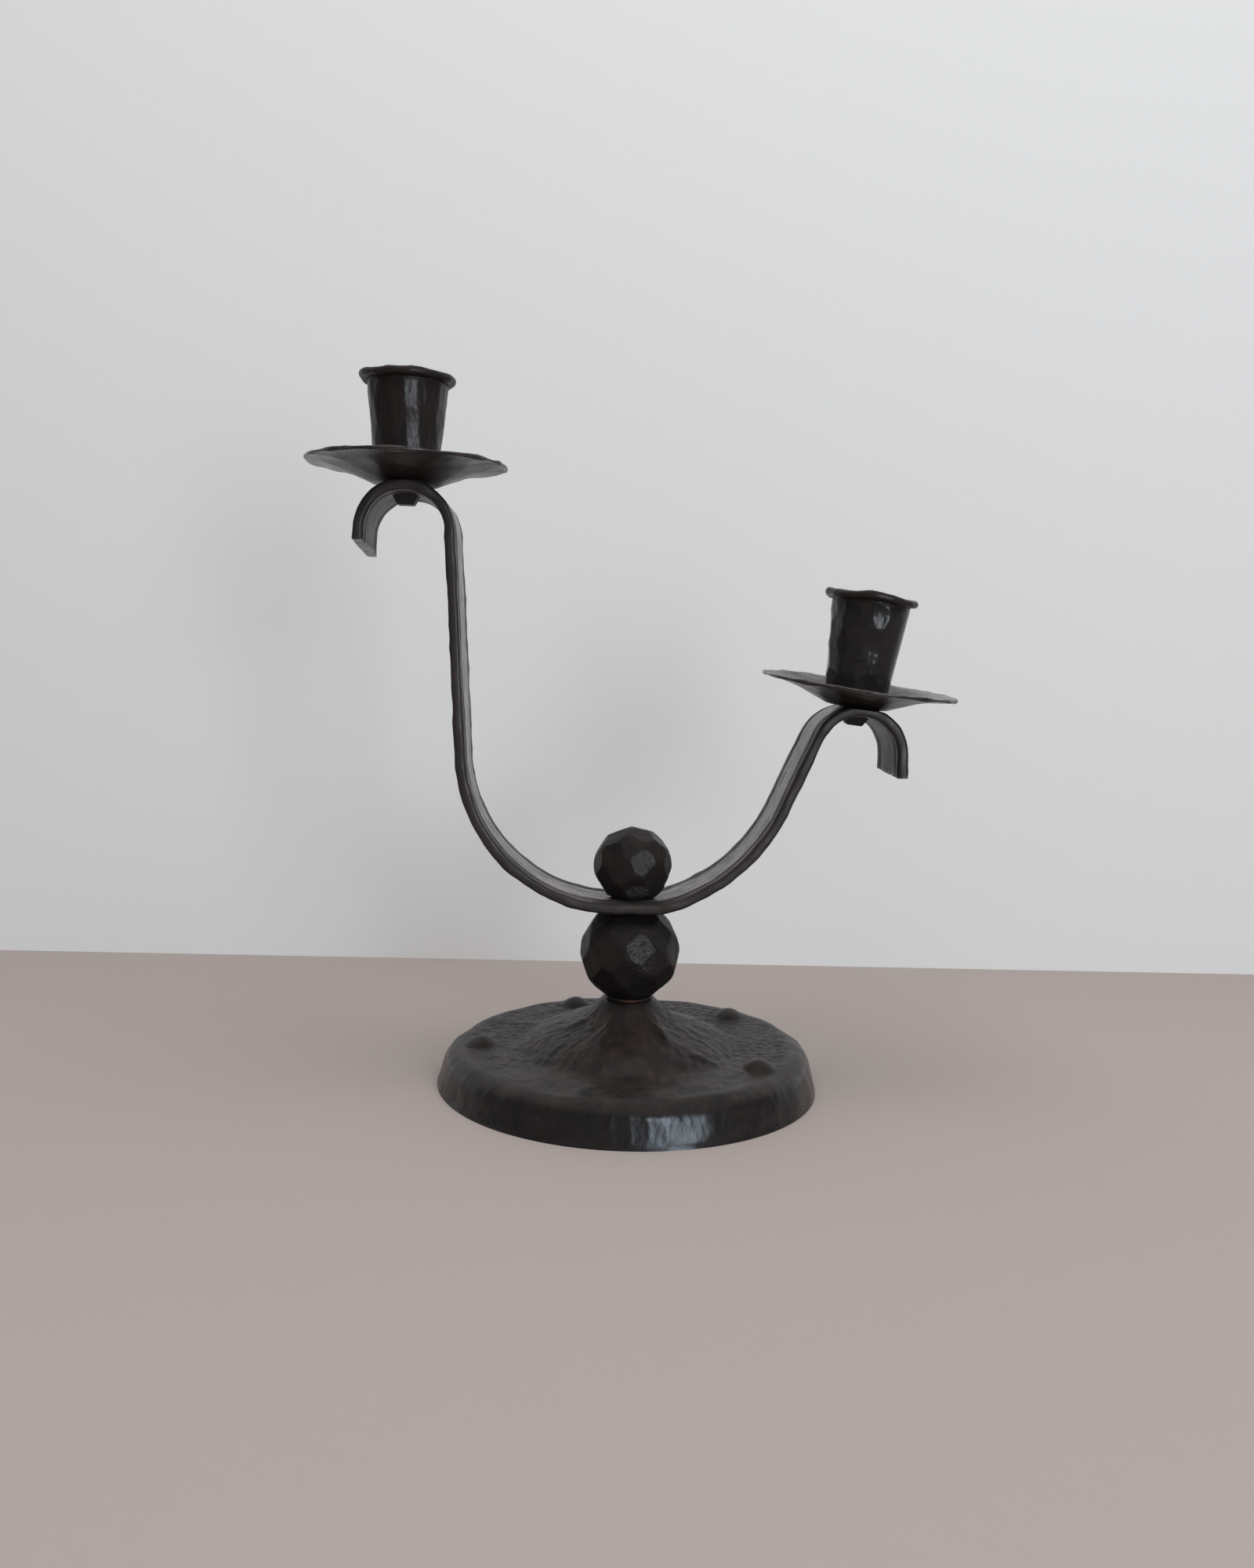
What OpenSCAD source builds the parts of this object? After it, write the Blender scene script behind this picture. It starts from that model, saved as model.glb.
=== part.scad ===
// Two-arm candle holder in hammered, blackened wrought iron.
// Millimetres, +Z up. The origin is the centre of the foot on the table.
// The arm lies in the XZ plane: the tall arm on the -X side, the low arm on the +X side.

/* [Foot] */
// Diameter of the foot where it stands on the table
foot_d = 120; // [90:1:160]
// Height of the flat top of the foot above the table
foot_h = 12.4; // [10:0.1:18]
// Lean of the rim wall from upright, in degrees
rim_lean = 12.4; // [4:0.1:20]
// Radius of the rounded edge between flat top and rim
edge_r = 6; // [3:0.1:8]
// Thickness of the sheet that the foot is raised from
foot_sheet = 1.8; // [1.2:0.1:2.4]
// Height of the top of the neck above the table
neck_h = 27.2; // [24:0.1:36]
// Diameter of the flat top of the neck
neck_d = 17.8; // [16.4:0.1:22]
// Slope of the neck just below its top, in degrees below level
neck_slope = 45; // [40:0.5:54]
// Radius of the sweep from the neck into the cone
neck_sweep_r = 15; // [8:0.5:20]
// Slope of the cone below the neck, in degrees below level
cone_slope = 20.5; // [16:0.5:24]
// Diameter of the cone where it meets the flat top
cone_d = 69.4; // [64:0.2:74]
// Radius of the cone's rounded edge
cone_edge_r = 11; // [6:0.5:13]
// Slope at which the rounded edge meets the flat top, in degrees below level
cone_edge_slope = 52; // [40:0.5:60]

/* [Bosses] */
// Number of domed bosses raised in the flat top
boss_count = 5; // [3:1:8]
// Radius of the circle that the bosses stand on
boss_ring_r = 47; // [45:0.5:48]
// Height of a boss above the flat top
boss_h = 2.7; // [1:0.1:4]
// Radius of a boss at its foot
boss_r = 4.8; // [3:0.1:5.4]
// Angle of the first boss from +X, in degrees
boss_phase = 39; // [0:1:72]

/* [Balls] */
// Radius of the lower ball before its facets are struck
lower_ball_r = 16; // [13:0.1:20]
// Radius of the upper ball before its facets are struck
upper_ball_r = 12.5; // [10:0.1:17]
// Radius of the flat seats on both balls
ball_seat_r = 7.1; // [6:0.1:8]
// Number of hammered facets on the lower ball
lower_facets = 32; // [20:1:40]
// Number of hammered facets on the upper ball
upper_facets = 28; // [18:1:36]
// Depth of a facet as a share of the ball's radius
facet_bite = 0.048; // [0.02:0.002:0.06]
// Angle that the first facet of both balls is turned from +X, in degrees
facet_phase = 207; // [0:1:359]
// Thickness of the ring between neck and lower ball
ring_t = 0.9; // [0.6:0.1:3]

/* [Arm] */
// Width of the strap
strap_w = 28; // [22:0.5:36]
// Thickness of the strap
strap_t = 3.3; // [2.4:0.1:4]
// Distance from the strap's edge to its deep groove line
groove_in = 3.6; // [2.8:0.1:4.4]
// Depth of the deep groove line
groove_depth = 0.4; // [0.2:0.05:0.6]
// Distance from the strap's edge to its fine groove line
fine_groove_in = 5.2; // [4.8:0.1:6]
// Depth of the fine groove line
fine_groove_depth = 0.25; // [0.1:0.05:0.35]
// Radius of the arches, at mid thickness
arch_r = 13.6; // [12:0.1:17]
// Distance from the axis to the centre of the tall arm's arch
left_reach = 72.2; // [64:0.1:84]
// Height of the top of the tall arm's arch above the table
left_top = 187.3; // [160:0.1:220]
// Slope of the tall arm's straight rise, in degrees
left_slope = 86.4; // [80:0.1:89]
// Length of the tall arm's tail below its arch
left_tail = 5; // [3:0.1:14]
// Slant of the tall arm's end cut, in degrees
left_end_cut = 5.5; // [-10:0.5:10]
// Distance from the axis to the centre of the low arm's arch
right_reach = 68.4; // [62:0.1:78]
// Height of the top of the low arm's arch above the table
right_top = 123.4; // [112:0.1:135]
// Slope of the low arm's straight rise, in degrees
right_slope = 66.6; // [60:0.1:72]
// Angle of the toe where the tall arm leaves the seat, in degrees
left_toe = 2; // [2:0.5:25]
// Angle of the toe where the low arm leaves the seat, in degrees
right_toe = 16; // [2:0.5:25]
// Radius of both toes at mid thickness
toe_r = 8; // [5:0.1:12]
// Length of the low arm's tail below its arch
right_tail = 6.6; // [3:0.1:14]
// Slant of the low arm's end cut, in degrees
right_end_cut = -2.6; // [-10:0.5:10]
// Slope of both tails, in degrees below level
tail_slope = 88; // [75:0.5:90]

/* [Pans and cups] */
// Diameter of a drip pan
pan_d = 61.6; // [50:0.5:76]
// Height of a drip pan's rim above its underside
pan_h = 7; // [4:0.1:9]
// Thickness of a drip pan's sheet
pan_sheet = 1.1; // [0.8:0.1:2]
// Height of the tall arm's candle cup
left_cup_h = 31.8; // [24:0.1:40]
// Height of the low arm's candle cup
right_cup_h = 34; // [24:0.1:40]
// Inner diameter of a candle cup at the mouth
mouth_d = 22.4; // [19:0.1:26]
// Outer diameter of a candle cup at its floor
cup_floor_d = 19; // [17:0.1:21]
// Thickness of a candle cup's wall and floor
cup_wall = 1.1; // [0.8:0.1:1.6]
// Thickness of the rolled lip
lip_t = 2.5; // [1.6:0.1:3.4]
// How far the lip stands out from the cup's wall
lip_reach = 2.4; // [1.6:0.1:3.2]
// Lean of the tall arm's pan and cup away from the axis, in degrees
left_lean = -0.2; // [-8:0.1:8]
// Lean of the low arm's pan and cup away from the axis, in degrees
right_lean = 6.2; // [-8:0.1:10]
// Nod of the tall arm's pan and cup towards the front, in degrees
left_nod = 1; // [-4:0.1:4]
// Nod of the low arm's pan and cup towards the front, in degrees
right_nod = 4; // [-4:0.1:4]
// Offset of the tall arm's pan and cup outwards from the crown of its arch
left_shift = 1.2; // [-2:0.1:2]
// Offset of the low arm's pan and cup outwards from the crown of its arch
right_shift = -0.4; // [-2:0.1:2]

/* [Fasteners] */
// Diameter of the tie rod
rod_d = 6; // [5:0.1:7]
// Length of tie rod screwed into the upper ball
rod_grip = 8; // [5:0.5:12]
// Width of the square nut across its flats
nut_w = 10; // [9:0.1:12]
// Height of the square nut
nut_h = 5; // [3:0.1:6]
// Diameter of the washer above the nut
washer_d = 13; // [11:0.1:14]
// Thickness of that washer
washer_t = 1.2; // [0.8:0.1:2]
// Diameter of a rivet's shank
rivet_d = 4; // [3:0.1:5]
// Width of a rivet's square lower head where it meets the strap
head_w = 8; // [6.5:0.1:10]
// Width of that head at its tip
head_tip_w = 5; // [3:0.1:6]
// Height of that head below the strap
head_h = 3; // [2:0.1:5]
// Diameter of a rivet's domed head inside the cup
dome_d = 8; // [6.5:0.1:10]
// Height of that dome
dome_h = 1.8; // [1:0.1:2.6]

/* [Fits] */
// Clearance all round the tie rod in the strap, where the arm turns
turn_gap = 0.08; // [0.02:0.01:0.1]
// Clearance all round the tie rod and the rivets in their other holes
hole_gap = 0.05; // [0.02:0.01:0.2]
// Depth of the flat hammered on an arch to seat its pan
seat_flat = 0.3; // [0.2:0.05:0.5]

/* [Hidden] */
$fn = 96;

// Allowance by which a cutting body stands past the face that it cuts
past = 1;
// Steps in each rounded stretch of a revolved outline
steps = 8;

foot_r = foot_d / 2;
neck_r = neck_d / 2;
// Upright collar between the neck's flat top and its cone
collar_h = 0.4;
// Centre of the cone's rounded edge on the outline
cone_edge_mid = [cone_d / 2, foot_h] - cone_edge_r * [sin(cone_edge_slope), cos(cone_edge_slope)];
// How far the lines of the neck and of the cone, moved out by the sweep's radius, pass from the origin
neck_line = neck_r * sin(neck_slope) + (neck_h - collar_h) * cos(neck_slope) + neck_sweep_r;
cone_line = cone_edge_mid * [sin(cone_slope), cos(cone_slope)] + cone_edge_r + neck_sweep_r;
// Centre of the sweep, where those two lines cross
sweep_mid = [neck_line * cos(cone_slope) - cone_line * cos(neck_slope),
    cone_line * sin(neck_slope) - neck_line * sin(cone_slope)] / sin(neck_slope - cone_slope);
// Centre line of the rounded edge
edge_mid_r = foot_r - (edge_r + (foot_h - edge_r) * sin(rim_lean)) / cos(rim_lean);
// Radius of the ceiling under the neck, where the washer bears
ceiling_r = neck_r - (foot_sheet + (collar_h - foot_sheet) * cos(neck_slope)) / sin(neck_slope);
ceiling_h = neck_h - foot_sheet;

// The stack on the tie rod, from the neck up
lower_seat_rise = sqrt(pow(lower_ball_r, 2) - pow(ball_seat_r, 2));
upper_seat_rise = sqrt(pow(upper_ball_r, 2) - pow(ball_seat_r, 2));
lower_ball_z = neck_h + ring_t + lower_seat_rise;
strap_low_z = lower_ball_z + lower_seat_rise;
strap_mid_z = strap_low_z + strap_t / 2;
upper_ball_z = strap_low_z + strap_t + upper_seat_rise;
rod_top_z = strap_low_z + strap_t + rod_grip;
nut_top_z = ceiling_h - washer_t;
// Thread left showing below the nut
rod_tail = 1.5;
rod_low_z = nut_top_z - nut_h - rod_tail;
// Room left above the rod in the upper ball's blind hole
blind_room = 0.5;
// Half length of the strap's level stretch, which shows a little past the balls' seats
seat_margin = 0.2;
level_half = ball_seat_r + seat_margin;
// Every second stretch of the strap is thinner by this skin all round and let into its neighbours by
// this length, so that each stretch ends inside the next
skin = 0.005;
let_in = 0.15;

// The sizes of one arm, in this order
REACH = 0;
TOP = 1;
SLOPE = 2;
TOE = 3;
TAIL = 4;
END_CUT = 5;
LEAN = 6;
NOD = 7;
SHIFT = 8;
LEFT = [left_reach, left_top, left_slope, left_toe, left_tail, left_end_cut,
    left_lean, left_nod, left_shift];
RIGHT = [right_reach, right_top, right_slope, right_toe, right_tail, right_end_cut,
    right_lean, right_nod, right_shift];
arch_out_r = arch_r + strap_t / 2;
arch_in_r = arch_r - strap_t / 2;
// Height of the pan's seat above the centre of its arch, along the leaning axis
seat_rise = arch_out_r - seat_flat;

// Centre of an arm's arch, measured from the middle of the level stretch
function arch_centre(side) = [side[REACH], side[TOP] - arch_out_r - strap_mid_z];

// Main bend radius and straight rise that carry the strap from its toe to its arch
function bend_and_rise(side) =
    let (a = side[SLOPE], toe = side[TOE], c = arch_centre(side))
    let (dx = c[0] - level_half - toe_r * sin(toe) - arch_r * sin(a))
    let (dz = c[1] - toe_r * (1 - cos(toe)) + arch_r * cos(a))
    let (bx = sin(a) - sin(toe), bz = cos(toe) - cos(a), det = bx * sin(a) - bz * cos(a))
    [(dx * sin(a) - dz * cos(a)) / det, (bx * dz - bz * dx) / det];

// Points on an arc about a centre, angles from +X
function arc(centre, r, from, to) =
    [for (i = [0 : steps]) let (a = from + (to - from) * i / steps) centre + r * [cos(a), sin(a)]];

// Outline of the foot from neck to rim, a given depth below its outer skin
function foot_skin(depth) = concat(
    arc(sweep_mid, neck_sweep_r + depth, 270 - neck_slope, 270 - cone_slope),
    arc(cone_edge_mid, cone_edge_r - depth, 90 - cone_slope,
        asin((cone_edge_r * cos(cone_edge_slope) - depth) / (cone_edge_r - depth))),
    arc([edge_mid_r, foot_h - edge_r], edge_r - depth, 90, rim_lean));

// Height of a boss at a distance from its middle: a round dome
function boss_rise(r) = boss_h * cos(90 * r / boss_r);

// Height of a pan's underside at a distance from its axis: level floor, then a curve that eases at the rim
pan_floor_margin = 0.4;
pan_floor_r = cup_floor_d / 2 + pan_floor_margin;
pan_ease = 84;
function pan_rise(r) = r <= pan_floor_r ? 0
    : (pan_h - pan_sheet) * sin(pan_ease * (r - pan_floor_r) / (pan_d / 2 - pan_floor_r)) / sin(pan_ease);

// The balls' facets follow a spiral with this turn from one to the next, and their depth swings by this
// share, round the circle in these steps
spiral_turn = 137.5;
bite_swing = 0.25;
bite_step = 97;

// Solid of the foot under its skin, with the bosses
module foot_body(depth) {
    wall_foot_r = foot_r - depth / cos(rim_lean);
    rotate_extrude()
        polygon(concat(
            depth == 0 ? [[0, neck_h], [neck_r, neck_h]] : [[0, ceiling_h], [ceiling_r, ceiling_h]],
            foot_skin(depth),
            depth == 0 ? [[wall_foot_r, 0], [0, 0]]
                : [[wall_foot_r, 0], [wall_foot_r + past * tan(rim_lean), -past], [0, -past]]));
    for (boss = [0 : boss_count - 1])
        rotate(boss_phase + 360 * boss / boss_count)
            translate([boss_ring_r, 0, foot_h - depth])
                rotate_extrude()
                    polygon(concat([[0, -foot_sheet / 2], [boss_r, -foot_sheet / 2]],
                        [for (i = [steps : -1 : 0]) let (r = boss_r * i / steps) [r, boss_rise(r)]]));
}

// Foot raised from one sheet: turned-down rim, flat top with bosses, coned neck
module foot() {
    color([0.17, 0.16, 0.15])
        difference() {
            foot_body(0);
            foot_body(foot_sheet);
            translate([0, 0, ceiling_h - past])
                cylinder(h = foot_sheet + 2 * past, d = rod_d + 2 * hole_gap);
        }
}

// Flat ring between the neck and the lower ball
module neck_ring() {
    color([0.36, 0.2, 0.12])
        translate([0, 0, neck_h])
            difference() {
                cylinder(h = ring_t, r = ball_seat_r);
                translate([0, 0, -past])
                    cylinder(h = ring_t + 2 * past, d = rod_d + 2 * hole_gap);
            }
}

// Forged ball: flats struck all over it on a spiral, and a flat seat below and above
module hammered_ball(r, facets, rise_low, rise_high) {
    difference() {
        sphere(r = r);
        for (i = [0 : facets - 1])
            rotate([0, acos(1 - (2 * i + 1) / facets), facet_phase + spiral_turn * i])
                translate([-r, -r, r * (1 - facet_bite * (1 + bite_swing * sin(bite_step * i)))])
                    cube(2 * r);
        translate([-r, -r, rise_high])
            cube(2 * r);
        translate([-r, -r, -rise_low - 2 * r])
            cube(2 * r);
    }
}

// Larger ball between the foot and the arm, bored for the tie rod
module lower_ball() {
    color([0.13, 0.12, 0.12])
        translate([0, 0, lower_ball_z])
            difference() {
                hammered_ball(lower_ball_r, lower_facets, lower_seat_rise, lower_seat_rise);
                translate([0, 0, -lower_ball_r])
                    cylinder(h = 2 * lower_ball_r, d = rod_d + 2 * hole_gap);
            }
}

// Smaller ball that screws down on the tie rod and clamps the arm
module upper_ball() {
    color([0.13, 0.12, 0.12])
        translate([0, 0, upper_ball_z])
            difference() {
                hammered_ball(upper_ball_r, upper_facets, upper_seat_rise, upper_ball_r);
                translate([0, 0, -upper_seat_rise - past])
                    cylinder(h = past + rod_grip + blind_room, d = rod_d + 2 * hole_gap);
            }
}

// Rod through the neck, the ring, the lower ball and the strap
module tie_rod() {
    color([0.3, 0.29, 0.28])
        translate([0, 0, rod_low_z])
            cylinder(h = rod_top_z - rod_low_z, d = rod_d);
}

// Washer against the ceiling under the neck
module clamp_washer() {
    color([0.3, 0.28, 0.26])
        translate([0, 0, nut_top_z])
            difference() {
                cylinder(h = washer_t, d = washer_d);
                translate([0, 0, -past])
                    cylinder(h = washer_t + 2 * past, d = rod_d + 2 * hole_gap);
            }
}

// Square nut under the washer
module clamp_nut() {
    color([0.28, 0.26, 0.24])
        translate([0, 0, nut_top_z - nut_h])
            difference() {
                translate([-nut_w / 2, -nut_w / 2, 0])
                    cube([nut_w, nut_w, nut_h]);
                translate([0, 0, -past])
                    cylinder(h = nut_h + 2 * past, d = rod_d + 2 * hole_gap);
            }
}

// Strap's section: half-round edge beads, groove lines on both faces, flat field between
module strap_section(inset) {
    thick = strap_t - 2 * inset;
    difference() {
        union() {
            square([strap_w - strap_t, thick], center = true);
            for (side = [-1, 1])
                translate([side * (strap_w - strap_t) / 2, 0])
                    circle(d = thick);
        }
        for (side = [-1, 1], face = [-1, 1]) {
            translate([side * (strap_w / 2 - groove_in), face * strap_t / 2])
                circle(r = groove_depth + inset);
            translate([side * (strap_w / 2 - fine_groove_in), face * strap_t / 2])
                circle(r = fine_groove_depth + inset);
        }
    }
}

// Straight stretch of strap along +X, with what follows at its end
module run(len, inset = 0) {
    lap = inset > 0 ? let_in : 0;
    translate([-lap, 0, 0])
        rotate([90, 0, 90])
            linear_extrude(len + 2 * lap)
                strap_section(inset);
    translate([len, 0, 0])
        children();
}

// Bend of the strap: a positive angle turns up, with what follows at its end
module bend(r, angle, inset = 0) {
    turn = abs(angle);
    lap = inset > 0 ? let_in / r * 180 / PI : 0;
    mirror([0, 0, angle < 0 ? 1 : 0])
        translate([0, 0, r])
            rotate([0, 90 + lap, 0])
                rotate([90, 0, 0])
                    rotate_extrude(angle = turn + 2 * lap)
                        translate([r, 0])
                            rotate(90)
                                strap_section(inset);
    translate([r * sin(turn), 0, sign(angle) * r * (1 - cos(turn))])
        rotate([0, -angle, 0])
            children();
}

// Last stretch of strap, cut off at a slant
module tail(len, cut, inset) {
    difference() {
        run(len + strap_w * abs(tan(cut)), inset);
        translate([len, 0, 0])
            rotate(-cut)
                translate([0, -strap_w, -strap_w])
                    cube(2 * strap_w);
    }
}

// One arm of the strap, from the end of the level stretch out along +X
module arm(side) {
    fit = bend_and_rise(side);
    translate([level_half, 0, strap_mid_z])
        bend(toe_r, side[TOE], skin)
            bend(fit[0], side[SLOPE] - side[TOE])
                run(fit[1], skin)
                    bend(arch_r, -side[SLOPE] - tail_slope)
                        tail(side[TAIL], side[END_CUT], skin);
}

// Places what stands on an arch, with z = 0 at the pan's seat
module on_arch(side) {
    c = arch_centre(side);
    translate([c[0], 0, c[1] + strap_mid_z])
        rotate([0, side[LEAN], 0])
            translate([side[SHIFT], 0, seat_rise])
                rotate([side[NOD], 0, 0])
                    children();
}

// Flat and rivet hole that an arch gets for its pan
module arch_cuts(side) {
    on_arch(side) {
        translate([-strap_w, -strap_w, 0])
            cube([2 * strap_w, 2 * strap_w, strap_w]);
        translate([0, 0, -2 * strap_t])
            cylinder(h = 2 * strap_t + past, d = rivet_d + 2 * hole_gap);
    }
}

// One strap for both arms, with the hole that the arm turns on
module arm_strap() {
    color([0.2, 0.19, 0.18])
        difference() {
            union() {
                translate([-level_half, 0, strap_mid_z])
                    run(2 * level_half);
                difference() {
                    arm(RIGHT);
                    arch_cuts(RIGHT);
                }
                mirror([1, 0, 0])
                    difference() {
                        arm(LEFT);
                        arch_cuts(LEFT);
                    }
            }
            translate([0, 0, strap_low_z - past])
                cylinder(h = strap_t + 2 * past, d = rod_d + 2 * turn_gap);
        }
}

// Shallow dished drip pan with a level floor
module drip_pan() {
    rim_r = pan_d / 2;
    radii = [for (i = [0 : steps]) pan_floor_r + (rim_r - pan_floor_r) * i / steps];
    color([0.19, 0.16, 0.14])
        difference() {
            rotate_extrude()
                polygon(concat(
                    [[0, 0]],
                    [for (r = radii) [r, pan_rise(r)]],
                    [for (i = [steps : -1 : 0]) [radii[i], pan_rise(radii[i]) + pan_sheet]],
                    [[0, pan_sheet]]));
            translate([0, 0, -past])
                cylinder(h = pan_sheet + 2 * past, d = rivet_d + 2 * hole_gap);
        }
}

// Tapered candle cup with a floor and a lip rolled out flat
module candle_cup(height) {
    floor_r = cup_floor_d / 2;
    top_r = mouth_d / 2 + cup_wall;
    lip_mid = height - lip_t / 2;
    lip_in = top_r - cup_wall + lip_t / 2;
    lip_out = top_r + lip_reach - lip_t / 2;
    color([0.14, 0.13, 0.13])
        translate([0, 0, pan_sheet])
            difference() {
                rotate_extrude() {
                    polygon([[0, 0], [floor_r, 0], [top_r, lip_mid], [top_r - cup_wall, lip_mid],
                        [floor_r - cup_wall, cup_wall], [0, cup_wall]]);
                    translate([lip_in, lip_mid - lip_t / 2])
                        square([lip_out - lip_in, lip_t]);
                    for (r = [lip_in, lip_out])
                        translate([r, lip_mid])
                            circle(d = lip_t);
                }
                translate([0, 0, -past])
                    cylinder(h = cup_wall + 2 * past, d = rivet_d + 2 * hole_gap);
            }
}

// Outline of a rivet's lower head seen from one side
module head_outline() {
    top = -strap_t + seat_flat;
    polygon([[-head_w / 2, 0], [head_w / 2, 0], [head_w / 2, top],
        [head_tip_w / 2, top - head_h], [-head_tip_w / 2, top - head_h], [-head_w / 2, top]]);
}

// Rivet through strap, pan and cup floor: hand-cut square head below, dome above
module rivet(side) {
    floor_top = pan_sheet + cup_wall;
    dome_r = (pow(dome_d / 2, 2) + pow(dome_h, 2)) / (2 * dome_h);
    color([0.1, 0.1, 0.1]) {
        translate([0, 0, -strap_t])
            cylinder(h = strap_t + floor_top, d = rivet_d);
        difference() {
            translate([0, 0, floor_top + dome_h - dome_r])
                sphere(r = dome_r);
            translate([-2 * dome_r, -2 * dome_r, floor_top - 4 * dome_r])
                cube(4 * dome_r);
        }
        intersection() {
            rotate([90, 0, 0])
                linear_extrude(head_w, center = true)
                    head_outline();
            rotate([90, 0, 90])
                linear_extrude(head_w, center = true)
                    head_outline();
            rotate([-side[NOD], 0, 0])
                translate([-side[SHIFT], 0, -seat_rise])
                    rotate([90, 0, 0])
                        cylinder(h = 2 * head_w, r = arch_in_r, center = true);
        }
    }
}

module drip_pan_left() {
    mirror([1, 0, 0])
        on_arch(LEFT)
            drip_pan();
}

module drip_pan_right() {
    on_arch(RIGHT)
        drip_pan();
}

module candle_cup_left() {
    mirror([1, 0, 0])
        on_arch(LEFT)
            candle_cup(left_cup_h);
}

module candle_cup_right() {
    on_arch(RIGHT)
        candle_cup(right_cup_h);
}

module rivet_left() {
    mirror([1, 0, 0])
        on_arch(LEFT)
            rivet(LEFT);
}

module rivet_right() {
    on_arch(RIGHT)
        rivet(RIGHT);
}

foot();
neck_ring();
lower_ball();
arm_strap();
upper_ball();
tie_rod();
clamp_washer();
clamp_nut();
drip_pan_left();
drip_pan_right();
candle_cup_left();
candle_cup_right();
rivet_left();
rivet_right();
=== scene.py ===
import math

import bmesh
import bpy
from mathutils import Matrix, Vector


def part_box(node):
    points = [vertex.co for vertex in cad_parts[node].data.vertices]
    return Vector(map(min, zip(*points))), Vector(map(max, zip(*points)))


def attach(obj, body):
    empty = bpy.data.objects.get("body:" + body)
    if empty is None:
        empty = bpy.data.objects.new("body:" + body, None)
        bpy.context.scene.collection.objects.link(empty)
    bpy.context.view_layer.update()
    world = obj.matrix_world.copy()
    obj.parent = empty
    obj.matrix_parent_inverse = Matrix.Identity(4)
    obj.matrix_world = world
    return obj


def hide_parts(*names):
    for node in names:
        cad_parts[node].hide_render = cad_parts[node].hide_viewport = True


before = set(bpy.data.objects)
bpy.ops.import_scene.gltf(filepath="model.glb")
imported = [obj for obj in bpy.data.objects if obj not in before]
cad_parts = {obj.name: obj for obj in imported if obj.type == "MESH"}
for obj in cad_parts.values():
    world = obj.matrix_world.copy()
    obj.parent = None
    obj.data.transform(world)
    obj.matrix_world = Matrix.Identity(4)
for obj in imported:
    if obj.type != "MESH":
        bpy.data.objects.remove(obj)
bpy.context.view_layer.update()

# Camera
# A short lens stands close in front of the holder, a little left of its axis, and looks slightly down
# and to the right. The picture is 1600 by 2000 pixels.
bpy.context.scene.view_settings.view_transform = "Standard"
PICTURE_HEIGHT = 2000
FOCAL_PIXELS = 1550
SENSOR = 36
CAMERA_PLACE = (-0.01845, -0.38416, 0.1315)
LOOK_RIGHT, LOOK_DOWN, TIP = math.radians(2.37), math.radians(5.23), math.radians(1.68)
bpy.ops.object.camera_add()
camera = bpy.context.object
camera.data.sensor_width = SENSOR
camera.data.lens = SENSOR * FOCAL_PIXELS / PICTURE_HEIGHT
camera.matrix_world = (
    Matrix.Translation(CAMERA_PLACE)
    @ Matrix.Rotation(-LOOK_RIGHT, 4, "Z")
    @ Matrix.Rotation(math.radians(90) - LOOK_DOWN, 4, "X")
    @ Matrix.Rotation(TIP, 4, "Z")
)
bpy.context.scene.camera = camera

# Floor and backdrop
# The holder stands on a pale warm surface before a plain pale wall. The wall shows from the front only, so
# that the holder can be seen from behind.
FLOOR_COLOUR = (0.33, 0.284, 0.266, 1)
WALL_COLOUR = (0.8, 0.803, 0.797, 1)
WALL_BEHIND, WALL_MIDDLE = 0.16, 1
STAGE_SIZE, STAGE_ROUGHNESS = 4, 0.9


def make_matte(name, colour):
    """Makes a plain dull finish."""
    matte = bpy.data.materials.new(name)
    matte.use_nodes = True
    shader = matte.node_tree.nodes["Principled BSDF"]
    shader.inputs["Base Color"].default_value = colour
    shader.inputs["Roughness"].default_value = STAGE_ROUGHNESS
    return matte


bpy.ops.mesh.primitive_plane_add(size=STAGE_SIZE)
floor = bpy.context.object
floor.name = "floor"
floor.data.materials.append(make_matte("plain_floor", FLOOR_COLOUR))

bpy.ops.mesh.primitive_plane_add(
    size=STAGE_SIZE, location=(0, WALL_BEHIND, WALL_MIDDLE), rotation=(math.radians(90), 0, 0)
)
wall = bpy.context.object
wall.name = "backdrop"
wall_paint = make_matte("plain_wall", WALL_COLOUR)
nodes, links = wall_paint.node_tree.nodes, wall_paint.node_tree.links
side = nodes.new("ShaderNodeNewGeometry")
clear = nodes.new("ShaderNodeBsdfTransparent")
mix = nodes.new("ShaderNodeMixShader")
links.new(side.outputs["Backfacing"], mix.inputs["Fac"])
links.new(nodes["Principled BSDF"].outputs["BSDF"], mix.inputs[1])
links.new(clear.outputs["BSDF"], mix.inputs[2])
links.new(mix.outputs["Shader"], nodes["Material Output"].inputs["Surface"])
wall.data.materials.append(wall_paint)

# Lights
# A tall soft window stands in front and to the right, a broad soft light hangs above, and a dim room fills
# in. The window is dim as a light and bright in the glints on the iron, so it is hung twice, a little apart.
WINDOW_BEARING, WINDOW_AWAY, WINDOW_HEIGHT, PANES_APART = math.radians(24), 1.25, 0.28, 0.02
WINDOW_SIZE, WINDOW_AIM, WINDOW_COLOUR = (0.45, 0.6), (0, 0, 0.1), (0.84, 0.92, 1.0)
WINDOW_WATTS, GLINT_WATTS = 4.6, 8.5
CEILING_PLACE, CEILING_SIZE, CEILING_WATTS = (0.1, -0.35, 1.5), (1.8, 1.8), 36
ROOM_COLOUR, ROOM_STRENGTH = (0.8, 0.86, 0.92, 1), 0.12


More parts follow.
